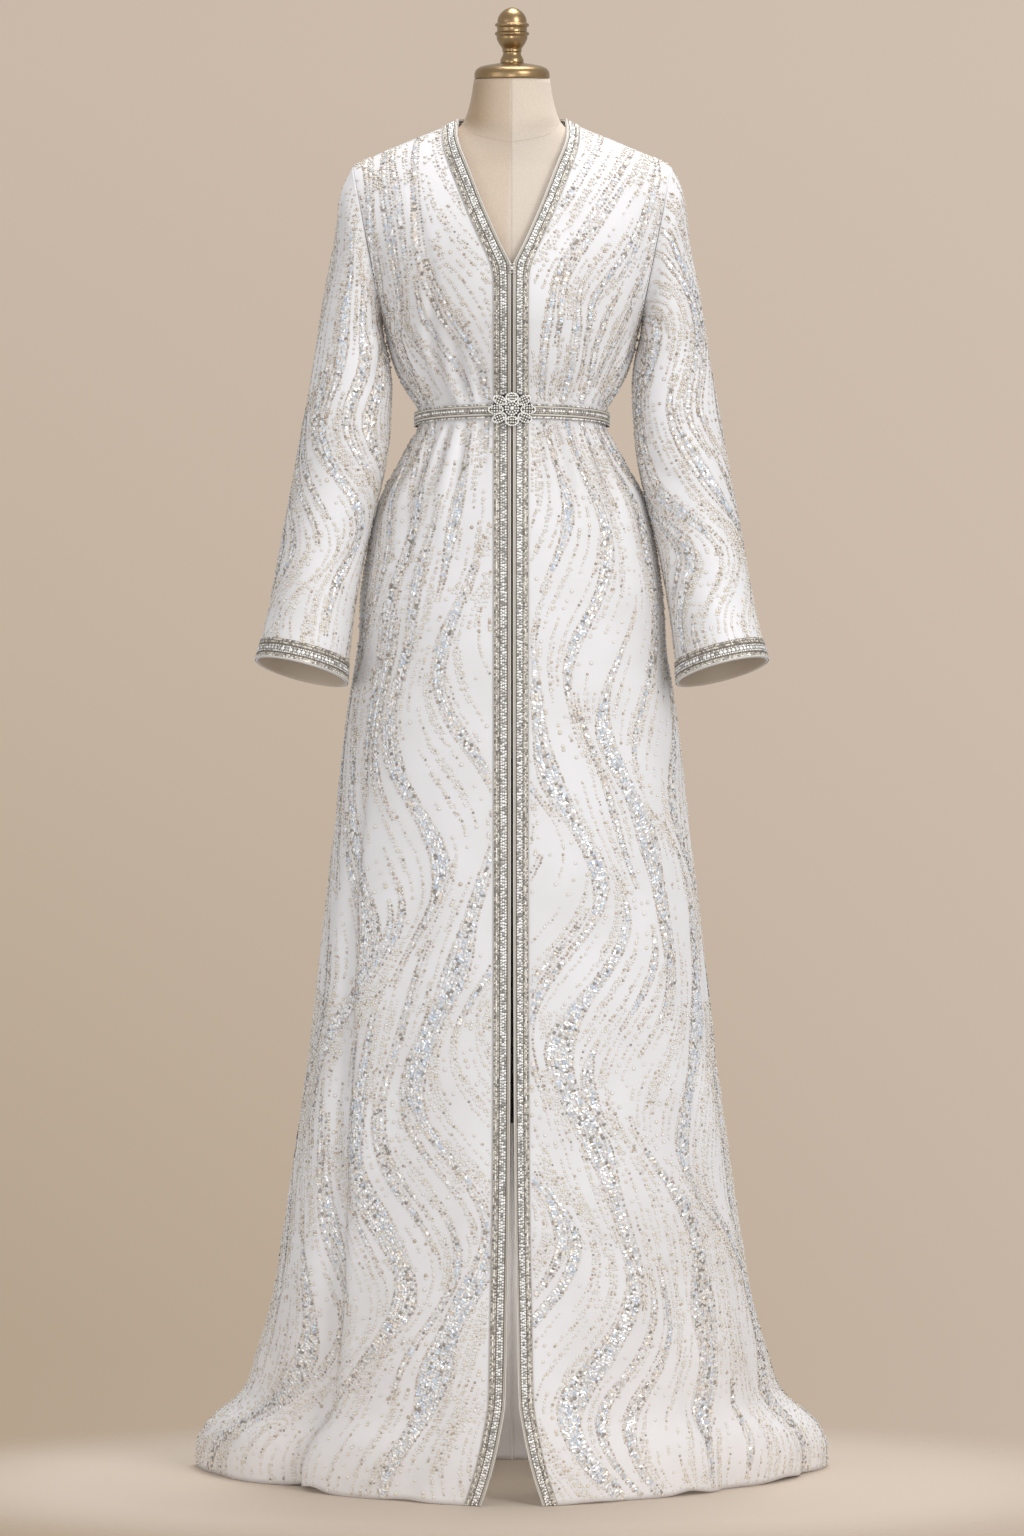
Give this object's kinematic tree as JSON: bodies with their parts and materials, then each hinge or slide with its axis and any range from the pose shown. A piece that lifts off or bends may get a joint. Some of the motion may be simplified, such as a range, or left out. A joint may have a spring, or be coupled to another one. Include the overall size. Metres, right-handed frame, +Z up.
{
  "type": "kaftan on dress form",
  "caption": "Floor-length open-front beaded kaftan with braid, belt and flower buckle, worn on a limbless linen dress form with a brass finial and a hidden four-legged stand",
  "frame": {"origin": "on the floor under the middle of the whole part's bounding box", "axes": "+Z up along the form's pole, -Y to the front of the gown, +X to the right as seen from the front"},
  "size_m": [0.742, 0.356, 1.7],
  "materials": {
    "cloth": "matte off-white crepe sewn all over with clear and silver sequins and beads",
    "trim": "silver-grey metal-thread braid with beads",
    "silver": "antique silver filigree",
    "linen": "plain natural linen",
    "brass": "antique turned brass, worn on its rims",
    "stand": "dark painted steel"
  },
  "bodies": {
    "root": {"front_left": "cloth", "front_right": "cloth", "back_left": "cloth", "back_right": "cloth", "sleeve_left": "cloth", "sleeve_right": "cloth", "band_front_left": "trim", "band_front_right": "trim", "band_back_neck": "trim", "cuff_band_left": "trim", "cuff_band_right": "trim", "belt": "trim", "buckle_flower": "silver", "buckle_centre": "silver", "neck_hook": "silver", "form_torso": "linen", "neck_cap": "brass", "finial": "brass", "stand_pole": "stand", "stand_hub": "stand", "leg_front_left": "stand", "foot_front_left": "stand", "leg_front_right": "stand", "foot_front_right": "stand", "leg_back_left": "stand", "foot_back_left": "stand", "leg_back_right": "stand", "foot_back_right": "stand"}
  },
  "joints": []
}
